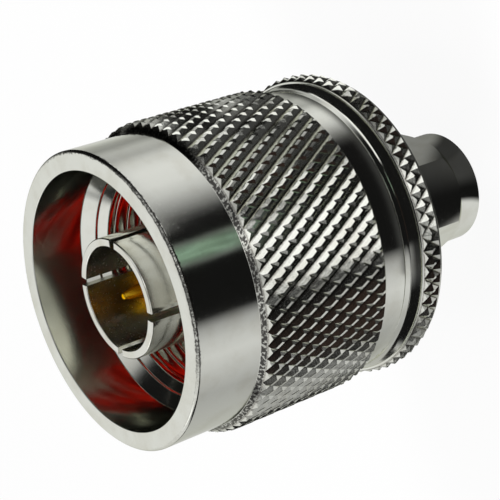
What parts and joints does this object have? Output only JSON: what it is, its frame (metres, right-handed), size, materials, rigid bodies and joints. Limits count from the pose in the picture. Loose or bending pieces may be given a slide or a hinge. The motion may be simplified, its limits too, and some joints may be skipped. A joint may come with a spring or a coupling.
{
  "type": "coaxial rf adapter",
  "caption": "Straight coaxial adapter: knurled screw-on large plug at one end, hexagonal screw-on small plug at the other, joined by a turned body with a knurled flange.",
  "frame": {"origin": "centre of the small coupling nut's end face, on which the adapter stands", "axes": "+Z along the common axis, from the small plug up to the mouth of the large plug"},
  "size_m": [0.0212, 0.0212, 0.0298],
  "materials": {
    "nickel_plate": "bright nickel plate over turned brass",
    "contact_plate": "bright plate over spring bronze",
    "gold_plate": "gold plate over brass",
    "white_insulator": "turned white fluoropolymer",
    "red_silicone": "moulded red silicone rubber",
    "spring_bronze": "bare spring bronze"
  },
  "bodies": {
    "body": {"adapter_body": "nickel_plate", "n_snap_ring": "spring_bronze", "n_gasket": "red_silicone", "n_outer_contact": "contact_plate", "n_insulator": "white_insulator", "n_center_contact": "gold_plate", "sma_body": "nickel_plate", "sma_snap_ring": "spring_bronze", "sma_gasket": "red_silicone", "sma_insulator": "white_insulator", "sma_center_contact": "gold_plate"},
    "n_nut": {"n_coupling_nut": "nickel_plate"},
    "sma_nut": {"sma_coupling_nut": "nickel_plate"}
  },
  "joints": [
    {"name": "n_nut_spin", "type": "hinge", "parent": "body", "child": "n_nut", "pos_m": [0, 0, 0.0214], "axis": [0, 0, 1], "continuous": true},
    {"name": "sma_nut_spin", "type": "hinge", "parent": "body", "child": "sma_nut", "pos_m": [0, 0, 0.0045], "axis": [0, 0, 1], "continuous": true}
  ]
}
